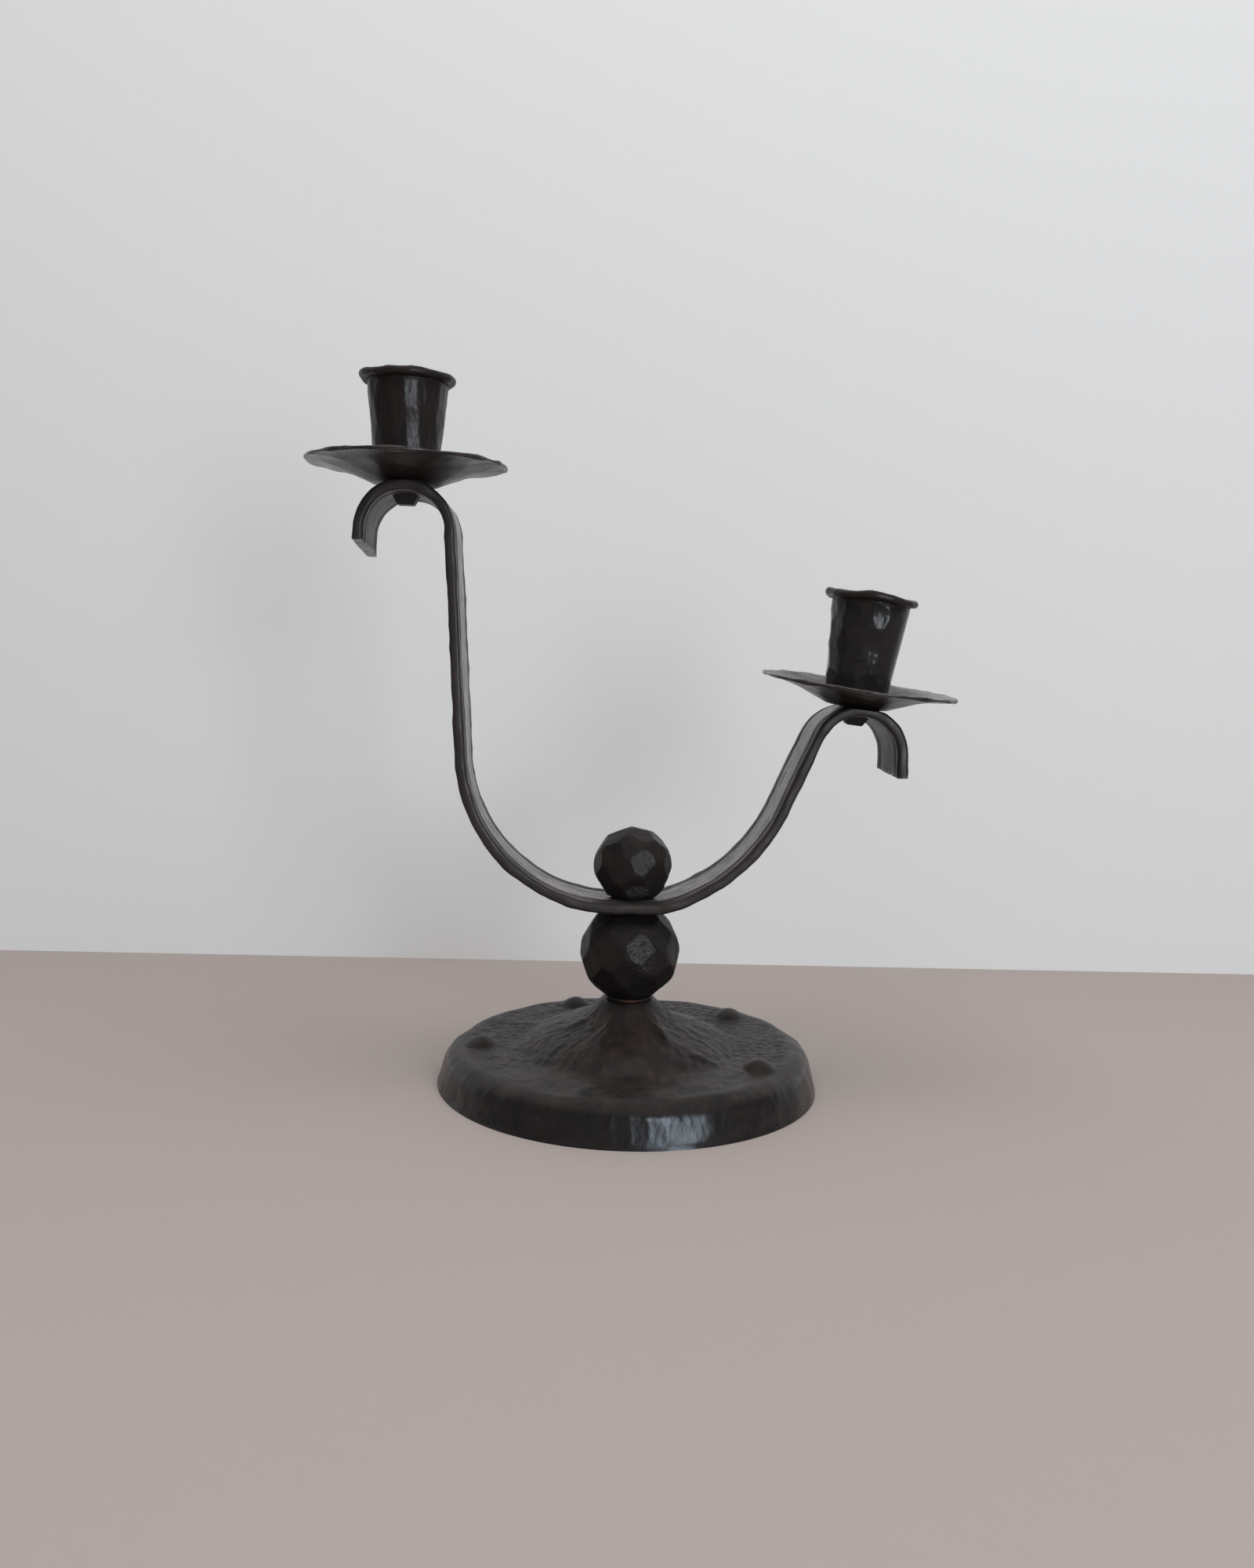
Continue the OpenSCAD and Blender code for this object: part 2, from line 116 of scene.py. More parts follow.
def hang_light(name, place, size, watts, aim):
    """Hangs a soft rectangular light that faces a point."""
    bpy.ops.object.light_add(type="AREA", location=place)
    light = bpy.context.object
    light.name = name
    light.data.shape = "RECTANGLE"
    light.data.size, light.data.size_y = size
    light.data.energy = watts
    light.rotation_mode = "QUATERNION"
    light.rotation_quaternion = (Vector(aim) - Vector(place)).to_track_quat("-Z", "Y")
    return light


window_way = Vector((math.sin(WINDOW_BEARING), -math.cos(WINDOW_BEARING), 0))
glint_place = window_way * WINDOW_AWAY + Vector((0, 0, WINDOW_HEIGHT))
window_place = glint_place + window_way * PANES_APART
window = hang_light("window", window_place, WINDOW_SIZE, WINDOW_WATTS, WINDOW_AIM)
window.data.color = WINDOW_COLOUR
window.visible_glossy = False
glints = hang_light("window_glints", glint_place, WINDOW_SIZE, GLINT_WATTS, WINDOW_AIM)
glints.data.color = WINDOW_COLOUR
glints.visible_diffuse = False
ceiling_light = hang_light("ceiling", CEILING_PLACE, CEILING_SIZE, CEILING_WATTS, (0, 0, 0))
ceiling_light.visible_glossy = False
room = bpy.data.worlds.new("room")
room.use_nodes = True
room.node_tree.nodes["Background"].inputs["Color"].default_value = ROOM_COLOUR
room.node_tree.nodes["Background"].inputs["Strength"].default_value = ROOM_STRENGTH
bpy.context.scene.world = room

# Foot
# One sheet of iron, raised over a form: a turned-down rim, a flat top peened all over and least in front,
# five bosses struck up from below, and a fluted cone drawn up in the middle to a narrow neck.
_, foot_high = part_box("foot")
_, rod_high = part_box("tie_rod")
FOOT_R, NECK_TOP = foot_high.x, foot_high.z
FLAT_TOP, FOOT_SHEET, HOLE_GAP = 0.0124, 0.0018, 0.00005
EDGE_R, RIM_LEAN = 0.006, math.radians(12.4)
NECK_R, COLLAR, NECK_SLOPE, SWEEP_R = 0.0089, 0.0004, math.radians(45), 0.015
CONE_R, CONE_SLOPE, CONE_EDGE_R, CONE_EDGE_SLOPE = 0.0347, math.radians(20.5), 0.011, math.radians(52)
FOOT_TURNS = 640
TABLE_EDGE, TOP_TILT, RIM_SPREAD = 0.0005, math.radians(0.8), 1.013
BOSS_HEIGHTS = (0.003, 0.003, 0.003, 0.0014, 0.003)
BOSS_RING, BOSS_R, BOSS_PHASE = 0.047, 0.0054, math.radians(39)
DENT_LEVEL, WAVE_LEVEL = 0.35, 0.5
FLAT_SMOOTHING, EDGE_SMOOTHING = 6, 90
# Hammer marks and waves, each with its size and its depth, and the radius that the cone's are unrolled on
FLUTES, FLUTE_UNROLL_R, CONE_DENTS, CONE_UNROLL_R = (0.0125, 0.0012), 0.02, (0.0042, 0.0004), 0.024
FLANK_DENTS, PEENING, FINE_PEENING = (0.0026, 0.0006), (0.0029, 0.0007), (0.0016, 0.0003)
RIM_DENTS, FINE_RIM_DENTS = (0.0052, 0.0003), (0.0017, 0.00014)
TOP_WAVE, RIM_WAVE = (0.016, 0.0012), (0.018, 0.0008)


def start(add, **at):
    """Adds a primitive with nothing else selected, sets its place into its mesh and opens it for editing."""
    bpy.ops.object.select_all(action="DESELECT")
    add(**at)
    bpy.ops.object.transform_apply(location=True, rotation=True, scale=True)
    bpy.ops.object.mode_set(mode="EDIT")
    return bpy.context.object


def start_point(place):
    """Opens a new piece that is one point, the start of an outline."""
    piece = start(bpy.ops.mesh.primitive_plane_add, size=0.001, location=place)
    bpy.ops.mesh.merge(type="CENTER")
    return piece


def draw_line(pen, end, parts):
    """Carries an outline on in a straight line, in equal parts, and gives its new end."""
    step = (Vector(end) - Vector(pen)) / parts
    for _ in range(parts):
        bpy.ops.mesh.extrude_region_move(TRANSFORM_OT_translate={"value": step})
    return Vector(end)


def draw_arc(pen, centre, turn, parts):
    """Carries an outline on round a centre in the XZ plane, clockwise for a positive turn."""
    bpy.ops.mesh.spin(steps=parts, angle=-turn, center=centre, axis=(0, 1, 0))
    return Vector(centre) + Matrix.Rotation(turn, 3, "Y") @ (Vector(pen) - Vector(centre))


def turn_on_axis(turns):
    """Spins the whole outline round the Z axis and closes the seam."""
    bpy.ops.mesh.select_all(action="SELECT")
    bpy.ops.mesh.spin(steps=turns, angle=math.tau, center=(0, 0, 0), axis=(0, 0, 1))
    bpy.ops.mesh.select_all(action="SELECT")
    bpy.ops.mesh.remove_doubles(threshold=1e-6)
    bpy.ops.mesh.normals_make_consistent(inside=False)


def pick(piece, chosen):
    """Selects the points of the open piece whose place passes the test, and nothing else."""
    bpy.ops.mesh.select_all(action="DESELECT")
    form = bmesh.from_edit_mesh(piece.data)
    for point in form.verts:
        point.select_set(chosen(point.co))
    form.select_flush(True)
    bmesh.update_edit_mesh(piece.data)


def pull(piece, place, by, reach, falloff="SMOOTH"):
    """Draws the skin of the open piece by a vector, most at the point nearest a place and less around it."""
    bpy.ops.mesh.select_all(action="DESELECT")
    form = bmesh.from_edit_mesh(piece.data)
    nearest = min(form.verts, key=lambda point: (point.co - Vector(place)).length_squared)
    nearest.select_set(True)
    bmesh.update_edit_mesh(piece.data)
    bpy.ops.transform.translate(
        value=by, use_proportional_edit=True, proportional_size=reach, proportional_edit_falloff=falloff
    )


def finish_with(piece, kind, **settings):
    """Adds a modifier to the closed piece and applies it."""
    bpy.context.view_layer.objects.active = piece
    step = piece.modifiers.new(kind.lower(), kind)
    for name, value in settings.items():
        setattr(step, name, value)
    bpy.ops.object.modifier_apply(modifier=step.name)


def cut_away(piece, tool, place=Matrix()):
    """Takes away what an open tool covers of the closed piece, with the tool moved to a place first."""
    bpy.ops.object.mode_set(mode="OBJECT")
    tool.matrix_world = place
    bpy.context.view_layer.update()
    finish_with(piece, "BOOLEAN", operation="DIFFERENCE", object=tool, solver="EXACT")
    bpy.data.objects.remove(tool)


def drill(radius, low, high):
    """Opens a round drill on the Z axis that reaches from low to high."""
    middle = (0, 0, (low + high) / 2)
    return start(
        bpy.ops.mesh.primitive_cylinder_add, vertices=64, radius=radius, depth=high - low, location=middle
    )


def mark_out(piece, name, weight):
    """Marks out a zone of the closed piece, as a vertex group with a weight for each place and facing."""
    zone = piece.vertex_groups.new(name=name)
    for point in piece.data.vertices:
        share = weight(point.co, point.normal)
        if share > 0:
            zone.add([point.index], min(share, 1), "REPLACE")
    return name


def shift_skin(piece, kind, size, depth, settings, middle, zone, stretch, at):
    """Moves the skin of the closed piece in and out by a texture laid on a stretched grid."""
    marks = bpy.data.textures.new("marks", kind)
    marks.noise_scale = size
    for name, value in settings.items():
        setattr(marks, name, value)
    bpy.ops.object.empty_add(location=at)
    grid = bpy.context.object
    grid.scale = stretch
    bpy.context.view_layer.update()
    finish_with(
        piece, "DISPLACE", texture=marks, texture_coords="OBJECT", texture_coords_object=grid,
        strength=depth, mid_level=middle, vertex_group=zone,
    )
    bpy.data.objects.remove(grid)
    bpy.data.textures.remove(marks)


def strike(piece, dent, depth, zone="", stretch=(1, 1, 1), at=(0, 0, 0)):
    """Hammers the closed piece: hollow dents of about one size, which a stretch makes longer."""
    squared = {"distance_metric": "DISTANCE_SQUARED"}
    shift_skin(piece, "VORONOI", dent, depth, squared, DENT_LEVEL, zone, stretch, at)


def warp(piece, wave, depth, zone="", at=(0, 0, 0)):
    """Puts the closed piece out of true by soft waves of about one length."""
    shift_skin(piece, "CLOUDS", wave, depth, {"noise_depth": 1}, WAVE_LEVEL, zone, (1, 1, 1), at)


def strike_round(piece, dent, depth, zone, unroll):
    """Hammers dents that follow a round piece: unroll gives the two lengths along it that carry them."""
    laid_out = piece.data.uv_layers.new(name="unrolled")
    for corner in piece.data.loops:
        along, across = unroll(piece.data.vertices[corner.vertex_index].co)
        laid_out.data[corner.index].uv = (along / 2, across / 2)
    marks = bpy.data.textures.new("marks", "VORONOI")
    marks.noise_scale = dent
    marks.distance_metric = "DISTANCE_SQUARED"
    finish_with(
        piece, "DISPLACE", texture=marks, texture_coords="UV", uv_layer="unrolled",
        strength=depth, mid_level=DENT_LEVEL, vertex_group=zone,
    )
    piece.data.uv_layers.remove(piece.data.uv_layers["unrolled"])
    bpy.data.textures.remove(marks)


def rub(piece, bright, ridge=0, painted_shade=None):
    """Notes how bright each point of the closed piece is rubbed: more on ridges, less in a zone kept darker
    as painted shade.
    """
    form = bmesh.new()
    form.from_mesh(piece.data)
    zones = form.verts.layers.deform.verify()
    zone = piece.vertex_groups[painted_shade].index if painted_shade else -1
    rubbed = []
    for point in form.verts:
        around = [edge.other_vert(point).co for edge in point.link_edges]
        reach = sum((place - point.co).length for place in around) / len(around)
        proud = (point.co - sum(around, Vector()) / len(around)).dot(point.normal) / reach
        share = bright(point.co, point.normal) * (1 - point[zones].get(zone, 0))
        rubbed.append(min(max(share + ridge * proud, 0), 1))
    form.free()
    piece.data.attributes.new("rubbed", "FLOAT", "POINT").data.foreach_set("value", rubbed)


def close(piece, name, degrees=40):
    """Ends the work on a piece: shades it smooth up to an angle and names it."""
    bpy.ops.object.select_all(action="DESELECT")
    piece.select_set(True)
    bpy.context.view_layer.objects.active = piece
    bpy.ops.object.shade_smooth_by_angle(angle=math.radians(degrees))
    piece.name = name
    piece.data.name = name


def ramp(low, high, value):
    """Rises smoothly from 0 at low to 1 at high."""
    t = min(max((value - low) / (high - low), 0), 1)
    return t * t * (3 - 2 * t)


def build_patina():
    """The blackening that all the iron shares: brown showing through black, bare metal where it is rubbed."""
    group = bpy.data.node_groups.new("patina", "ShaderNodeTree")
    face = group.interface
    for name, kind, value in (
        ("Black", "NodeSocketColor", (0.02, 0.02, 0.02, 1)),
        ("Brown", "NodeSocketColor", (0.05, 0.04, 0.03, 1)),
        ("Bare", "NodeSocketColor", (0.1, 0.09, 0.085, 1)),
        ("Cloud", "NodeSocketFloat", 140.0),
        ("Pit", "NodeSocketFloat", 900.0),
        ("Dull", "NodeSocketFloat", 0.6),
        ("Shiny", "NodeSocketFloat", 0.3),
        ("Rubbed", "NodeSocketFloat", 0.5),
        ("Patchy", "NodeSocketFloat", 0.35),
        ("Grain", "NodeSocketVector", (1, 1, 1)),
    ):
        socket = face.new_socket(name=name, in_out="INPUT", socket_type=kind)
        socket.default_value = value
    face.new_socket(name="Colour", in_out="OUTPUT", socket_type="NodeSocketColor")
    face.new_socket(name="Roughness", in_out="OUTPUT", socket_type="NodeSocketFloat")
    face.new_socket(name="Height", in_out="OUTPUT", socket_type="NodeSocketFloat")
    nodes, links = group.nodes, group.links
    given, made = nodes.new("NodeGroupInput"), nodes.new("NodeGroupOutput")
    place = nodes.new("ShaderNodeTexCoord")
    drawn = nodes.new("ShaderNodeVectorMath")
    drawn.operation = "MULTIPLY"
    links.new(place.outputs["Object"], drawn.inputs[0])
    links.new(given.outputs["Grain"], drawn.inputs[1])

    def noise(scale, detail, rough):
        cloud = nodes.new("ShaderNodeTexNoise")
        cloud.inputs["Detail"].default_value = detail
        cloud.inputs["Roughness"].default_value = rough
        links.new(drawn.outputs["Vector"], cloud.inputs["Vector"])
        links.new(given.outputs[scale], cloud.inputs["Scale"])
        return cloud.outputs["Fac"]

    def span(value, low, high, to_low, to_high):
        scale = nodes.new("ShaderNodeMapRange")
        ends = ("From Min", low), ("From Max", high), ("To Min", to_low), ("To Max", to_high)
        for socket, number in ends:
            if isinstance(number, str):
                links.new(given.outputs[number], scale.inputs[socket])
            else:
                scale.inputs[socket].default_value = number
        links.new(value, scale.inputs["Value"])
        return scale.outputs["Result"]

    def blend(factor, below, above):
        mix = nodes.new("ShaderNodeMix")
        mix.data_type = "RGBA"
        links.new(factor, mix.inputs["Factor"])
        links.new(below, mix.inputs["A"])
        links.new(above, mix.inputs["B"])
        return mix.outputs["Result"]

    def combine(way, one, other):
        sum_up = nodes.new("ShaderNodeMath")
        sum_up.operation = way
        links.new(one, sum_up.inputs[0])
        links.new(other, sum_up.inputs[1])
        return sum_up.outputs["Value"]

    clouds, pits = noise("Cloud", 5.0, 0.6), noise("Pit", 4.0, 0.65)
    uneven = span(combine("ADD", clouds, pits), 0.75, 1.25, -0.5, 0.5)
    wear_and_light = combine("ADD", given.outputs["Rubbed"], combine("MULTIPLY", uneven, given.outputs["Patchy"]))
    skin = blend(span(clouds, 0.38, 0.66, 0.0, 1.0), given.outputs["Black"], given.outputs["Brown"])
    skin = blend(span(wear_and_light, 0.55, 1.25, 0.0, 1.0), skin, given.outputs["Bare"])
    skin = blend(span(pits, 0.6, 0.3, 0.0, 0.55), skin, given.outputs["Black"])
    links.new(skin, made.inputs["Colour"])
    links.new(span(wear_and_light, 0.0, 1.0, "Dull", "Shiny"), made.inputs["Roughness"])
    links.new(pits, made.inputs["Height"])
    return group


PATINA = build_patina()
PITTING, BLUED = 0.00005, (0.85, 0.93, 1)


def blacken(
    name, black, brown, bare, shiny, dull, grain=(1, 1, 1), patchy=0.35, cloud=160, pit=1100, metallic=0,
    gloss=0.36, sheen=(1, 1, 1),
):
    """Makes an iron finish of its own from the shared patina and the rubbing noted on the piece, which on
    some pieces also carries painted shade, reflection and glints.
    """
    finish = bpy.data.materials.new(name)
    finish.use_nodes = True
    nodes, links = finish.node_tree.nodes, finish.node_tree.links
    shader = nodes["Principled BSDF"]
    shader.inputs["Metallic"].default_value = metallic
    shader.inputs["Specular IOR Level"].default_value = gloss
    shader.inputs["Specular Tint"].default_value = (*sheen, 1)
    patina = nodes.new("ShaderNodeGroup")
    patina.node_tree = PATINA
    for socket, value in (
        ("Black", (*black, 1)), ("Brown", (*brown, 1)), ("Bare", (*bare, 1)), ("Cloud", cloud), ("Pit", pit),
        ("Dull", dull), ("Shiny", shiny), ("Patchy", patchy), ("Grain", grain),
    ):
        patina.inputs[socket].default_value = value
    rubbing = nodes.new("ShaderNodeAttribute")
    rubbing.attribute_name = "rubbed"
    bump = nodes.new("ShaderNodeBump")
    bump.inputs["Strength"].default_value = 1.0
    bump.inputs["Distance"].default_value = PITTING
    links.new(rubbing.outputs["Fac"], patina.inputs["Rubbed"])
    links.new(patina.outputs["Colour"], shader.inputs["Base Color"])
    links.new(patina.outputs["Roughness"], shader.inputs["Roughness"])
    links.new(patina.outputs["Height"], bump.inputs["Height"])
    links.new(bump.outputs["Normal"], shader.inputs["Normal"])
    return finish


def off(centre, radius, slope):
    """The point of an arc where its skin falls outward by a slope: radius is negative for a hollow arc."""
    return centre + radius * Vector((math.sin(slope), 0, math.cos(slope)))


def out(place):
    """Distance from the axis."""
    return math.hypot(place.x, place.y)


def bearing(place):
    """Angle round the axis from the front, so that the seam is at the back."""
    return math.atan2(place.x, -place.y)


edge_mid = FOOT_R - (EDGE_R + (FLAT_TOP - EDGE_R) * math.sin(RIM_LEAN)) / math.cos(RIM_LEAN)
cone_edge_mid = off(Vector((CONE_R, 0, FLAT_TOP)), -CONE_EDGE_R, CONE_EDGE_SLOPE)
neck_line = NECK_R * math.sin(NECK_SLOPE) + (NECK_TOP - COLLAR) * math.cos(NECK_SLOPE) + SWEEP_R
cone_line = cone_edge_mid.dot(off(Vector(), 1, CONE_SLOPE)) + CONE_EDGE_R + SWEEP_R
sweep_mid = Vector((
    neck_line * math.cos(CONE_SLOPE) - cone_line * math.cos(NECK_SLOPE), 0,
    cone_line * math.sin(NECK_SLOPE) - neck_line * math.sin(CONE_SLOPE),
)) / math.sin(NECK_SLOPE - CONE_SLOPE)
ceiling, hollow_foot = NECK_TOP - FOOT_SHEET, FOOT_R - FOOT_SHEET / math.cos(RIM_LEAN)
hollow_flat = FLAT_TOP - FOOT_SHEET
rim_fold, rim_turn = Vector((edge_mid, 0, FLAT_TOP - EDGE_R)), math.radians(90) - RIM_LEAN
rod_hole = rod_high.x + HOLE_GAP

foot = start_point((rod_hole, 0, NECK_TOP))
pen = draw_line((rod_hole, 0, NECK_TOP), (NECK_R - COLLAR, 0, NECK_TOP), 6)
pen = draw_line(pen, (NECK_R, 0, NECK_TOP - COLLAR), 1)
pen = draw_line(pen, off(sweep_mid, -SWEEP_R, NECK_SLOPE), 6)
pen = draw_arc(pen, sweep_mid, CONE_SLOPE - NECK_SLOPE, 10)
pen = draw_line(pen, off(cone_edge_mid, CONE_EDGE_R, CONE_SLOPE), 16)
pen = draw_arc(pen, cone_edge_mid, CONE_EDGE_SLOPE - CONE_SLOPE, 10)
pen = draw_line(pen, (edge_mid, 0, FLAT_TOP), 32)
pen = draw_arc(pen, rim_fold, rim_turn, 12)
pen = draw_line(pen, (FOOT_R, 0, 0), 12)
pen = draw_line(pen, (hollow_foot, 0, 0), 1)
pen = draw_line(pen, off(rim_fold, EDGE_R - FOOT_SHEET, rim_turn), 2)
pen = draw_arc(pen, rim_fold, -rim_turn, 3)
pen = draw_line(pen, (CONE_R - FOOT_SHEET / 2, 0, hollow_flat), 8)
pen = draw_line(pen, off(cone_edge_mid, CONE_EDGE_R - FOOT_SHEET, CONE_SLOPE), 2)
pen = draw_line(pen, off(sweep_mid, -SWEEP_R - FOOT_SHEET, CONE_SLOPE), 3)
pen = draw_line(pen, off(sweep_mid, -SWEEP_R - FOOT_SHEET, NECK_SLOPE), 2)
pen = draw_line(pen, (NECK_R - FOOT_SHEET * 0.64, 0, ceiling), 2)
pen = draw_line(pen, (rod_hole, 0, ceiling), 2)
draw_line(pen, (rod_hole, 0, NECK_TOP), 1)
turn_on_axis(FOOT_TURNS)

boss_ways = [BOSS_PHASE + math.tau * boss / len(BOSS_HEIGHTS) for boss in range(len(BOSS_HEIGHTS))]
boss_tops = [Vector((BOSS_RING * math.cos(way), BOSS_RING * math.sin(way), FLAT_TOP)) for way in boss_ways]
for boss, height in zip(boss_tops, BOSS_HEIGHTS):
    pull(foot, boss, (0, 0, height), BOSS_R, "INVERSE_SQUARE")
pick(foot, lambda p: p.z > FLAT_TOP / 3)
bpy.ops.transform.rotate(
    value=TOP_TILT, orient_axis="Y", center_override=(0, 0, FLAT_TOP), use_proportional_edit=True,
    proportional_size=FLAT_TOP / 3, proportional_edit_falloff="SMOOTH",
)
pick(foot, lambda p: p.z <= TABLE_EDGE)
bpy.ops.transform.resize(
    value=(RIM_SPREAD, 1, 1), center_override=(0, 0, 0), use_proportional_edit=True,
    proportional_size=FLAT_TOP, proportional_edit_falloff="SMOOTH",
)
bpy.ops.object.mode_set(mode="OBJECT")


def upward(facing):
    """1 where the skin faces up, 0 where it faces sideways or down."""
    return ramp(0.1, 0.3, facing.z)


def outward(place, facing):
    """1 where the skin faces away from the axis."""
    return ramp(0.1, 0.6, (facing.x * place.x + facing.y * place.y) / max(out(place), NECK_R))


def near_boss(place):
    """1 on the bosses, falling to 0 around them."""
    return max(1 - ramp(BOSS_R * 0.7, BOSS_R * 1.3, (place - boss).length) for boss in boss_tops)


def on_flat(place):
    """1 on the flat top between cone and rim, except on the bosses."""
    outside = ramp(CONE_R - 0.003, CONE_R + 0.003, out(place))
    inside = 1 - ramp(edge_mid - 0.002, edge_mid, out(place))
    return outside * inside * (1 - near_boss(place))


def aside(place):
    """1 at the sides and back, where the hammer was used most, falling to a third in front."""
    return 1 - 0.65 * ramp(0.3, 0.85, -place.y / max(out(place), NECK_R))


def near_edge(place):
    """1 where the cone meets the flat, falling to 0 on both sides."""
    return 1 - ramp(0.003, 0.008, abs(out(place) - CONE_R))


def on_cone(place):
    """1 on the cone between neck and flat."""
    return ramp(NECK_R, NECK_R + 0.005, out(place)) * (1 - ramp(CONE_R, CONE_R + 0.004, out(place)))


def foot_wear(place):
    """A little all over, more on the cone and most on the rim."""
    return 0.12 + 0.1 * on_cone(place) + 0.75 * ramp(edge_mid + 0.004, FOOT_R - 0.002, out(place))


flat = mark_out(foot, "flat", lambda p, n: upward(n) * max(on_flat(p), 0.4 * near_boss(p)))
peened = mark_out(foot, "peened", lambda p, n: upward(n) * on_flat(p) * aside(p))
edge = mark_out(foot, "edge", lambda p, n: upward(n) * near_edge(p) * (1 - near_boss(p)))
cone = mark_out(foot, "cone", lambda p, n: upward(n) * on_cone(p))
flanks = mark_out(
    foot, "flanks", lambda p, n: upward(n) * on_cone(p) * ramp(0.3, 0.8, abs(p.x) / max(out(p), NECK_R))
)
rim = mark_out(
    foot, "rim", lambda p, n: outward(p, n) * ramp(0, 0.002, p.z) * ramp(edge_mid, FOOT_R - 0.003, out(p))
)
top = mark_out(foot, "top", lambda p, n: upward(n) * ramp(NECK_R, CONE_R, out(p)))
finish_with(foot, "SMOOTH", factor=0.5, iterations=FLAT_SMOOTHING, vertex_group=flat)
finish_with(foot, "SMOOTH", factor=0.5, iterations=EDGE_SMOOTHING, vertex_group=edge)
strike_round(foot, *FLUTES, cone, lambda p: (bearing(p) * FLUTE_UNROLL_R, out(p) / 4))
strike_round(foot, *CONE_DENTS, cone, lambda p: (bearing(p) * CONE_UNROLL_R, out(p) / 2))
strike(foot, *FLANK_DENTS, flanks)
strike(foot, *PEENING, peened)
strike(foot, *FINE_PEENING, peened)
warp(foot, *TOP_WAVE, top)
strike_round(foot, *RIM_DENTS, rim, lambda p: (bearing(p) * FOOT_R, p.z / 3))
strike_round(foot, *FINE_RIM_DENTS, rim, lambda p: (bearing(p) * FOOT_R, p.z / 2))
warp(foot, *RIM_WAVE, rim)
rub(foot, lambda p, n: foot_wear(p), 2)
close(foot, "raised_foot")
foot.data.materials.append(
    blacken(
        "foot_iron", (0.012, 0.0097, 0.0086), (0.0305, 0.0207, 0.0168), (0.01, 0.0098, 0.01),
        shiny=0.23, dull=0.46, grain=(1, 1, 0.3), sheen=BLUED,
    )
)
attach(foot, "stand")
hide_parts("foot")

# Neck ring
# A thin iron washer between neck and ball, left unblackened, so its edge has rusted to a brown line.
ring_low, ring_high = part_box("neck_ring")
RING_TURNS, RING_WAVE = 96, (0.003, 0.0003)
ring_r, ring_t = ring_high.x, ring_high.z - ring_low.z
ring_round = ring_t * 0.3
ring = start_point((rod_hole, 0, ring_low.z))
pen = draw_line((rod_hole, 0, ring_low.z), (ring_r - ring_round, 0, ring_low.z), 3)
pen = draw_arc(pen, (ring_r - ring_round, 0, ring_low.z + ring_round), math.radians(-90), 4)
pen = draw_line(pen, (ring_r, 0, ring_high.z - ring_round), 1)
pen = draw_arc(pen, (ring_r - ring_round, 0, ring_high.z - ring_round), math.radians(-90), 4)
pen = draw_line(pen, (rod_hole, 0, ring_high.z), 3)
draw_line(pen, (rod_hole, 0, ring_low.z), 1)
turn_on_axis(RING_TURNS)
bpy.ops.object.mode_set(mode="OBJECT")
warp(ring, *RING_WAVE)
rub(ring, lambda p, n: ramp(0.0045, 0.0075, -p.y))
close(ring, "rusty_ring")
ring.data.materials.append(
    blacken(
        "rust_iron", (0.018, 0.013, 0.011), (0.03, 0.017, 0.012), (0.16, 0.06, 0.026),
        shiny=0.7, dull=0.8, cloud=500, pit=2500,
    )
)
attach(ring, "stand")
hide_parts("neck_ring")

# Lower ball
# A forged ball of black iron, bored for the tie rod. The hammer has left flats all over it, and its top
# and bottom are flat where the strap and the ring bear on it.
SPIRAL_TURN = math.radians(137.5)
BITE_SWING, BITE_STEP, BORE_GAP = 0.2, math.radians(97), 0.0003
BALL_GRAINS, PATCH_SHARE = 64, 0.45
BALL_WAVE, PATCH_DENTS = (0.006, 0.0003), (0.0009, 0.00025)
BALL_DENTS, FINE_BALL_DENTS = (0.0016, 0.00007), (0.0007, 0.00003)
ball_iron = blacken(
    "ball_iron", (0.0135, 0.0121, 0.0115), (0.0212, 0.0165, 0.0147), (0.1, 0.098, 0.096),
    shiny=0.22, dull=0.45, pit=1400, gloss=0.14,
)


def forge_ball(name, node, radius, facets, phase, middle, bite, softness, rough_patch, patch_bare_and_glint, bore_top):
    """Strikes flats on a sphere along a spiral, cuts its seats, softens the edges and bores it from below."""
    low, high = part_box(node)
    centre = Vector((0, 0, middle))
    ball = start(bpy.ops.mesh.primitive_ico_sphere_add, subdivisions=6, radius=radius, location=centre)

    def strike_flat(place, way):
        bpy.ops.mesh.select_all(action="SELECT")
        bpy.ops.mesh.bisect(plane_co=place, plane_no=way, use_fill=True, clear_outer=True)

    for facet in range(facets):
        rise = 1 - (2 * facet + 1) / facets
        turn = phase + SPIRAL_TURN * facet
        level_way = Vector((math.cos(turn), math.sin(turn), 0))
        way = level_way * math.sqrt(1 - rise * rise) + Vector((0, 0, rise))
        depth = bite * (1 + BITE_SWING * math.sin(BITE_STEP * facet))
        strike_flat(centre + way * radius * (1 - depth), way)
    strike_flat((0, 0, low.z), (0, 0, -1))
    strike_flat((0, 0, min(high.z, middle + radius)), (0, 0, 1))
    bpy.ops.object.mode_set(mode="OBJECT")
    cut_away(ball, drill(rod_high.x + BORE_GAP, low.z - radius, bore_top))
    finish_with(ball, "REMESH", mode="VOXEL", voxel_size=radius / BALL_GRAINS)
    finish_with(ball, "SMOOTH", factor=0.5, iterations=softness)
    warp(ball, *BALL_WAVE)
    strike(ball, *BALL_DENTS)
    strike(ball, *FINE_BALL_DENTS)
    patch_r = radius * PATCH_SHARE

    def in_patch(place):
        return 1 - ramp(patch_r * 0.5, patch_r, (place - rough_patch).length)

    strike(ball, *PATCH_DENTS, mark_out(ball, "patch", lambda p, n: in_patch(p)))
    # The patch's light bare specks are rubbed metal, and partly painted glints
    rub(ball, lambda p, n: 0.3 + patch_bare_and_glint * in_patch(p), 3)
    close(ball, name)
    ball.data.materials.append(ball_iron)
    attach(ball, "stand")
    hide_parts(node)


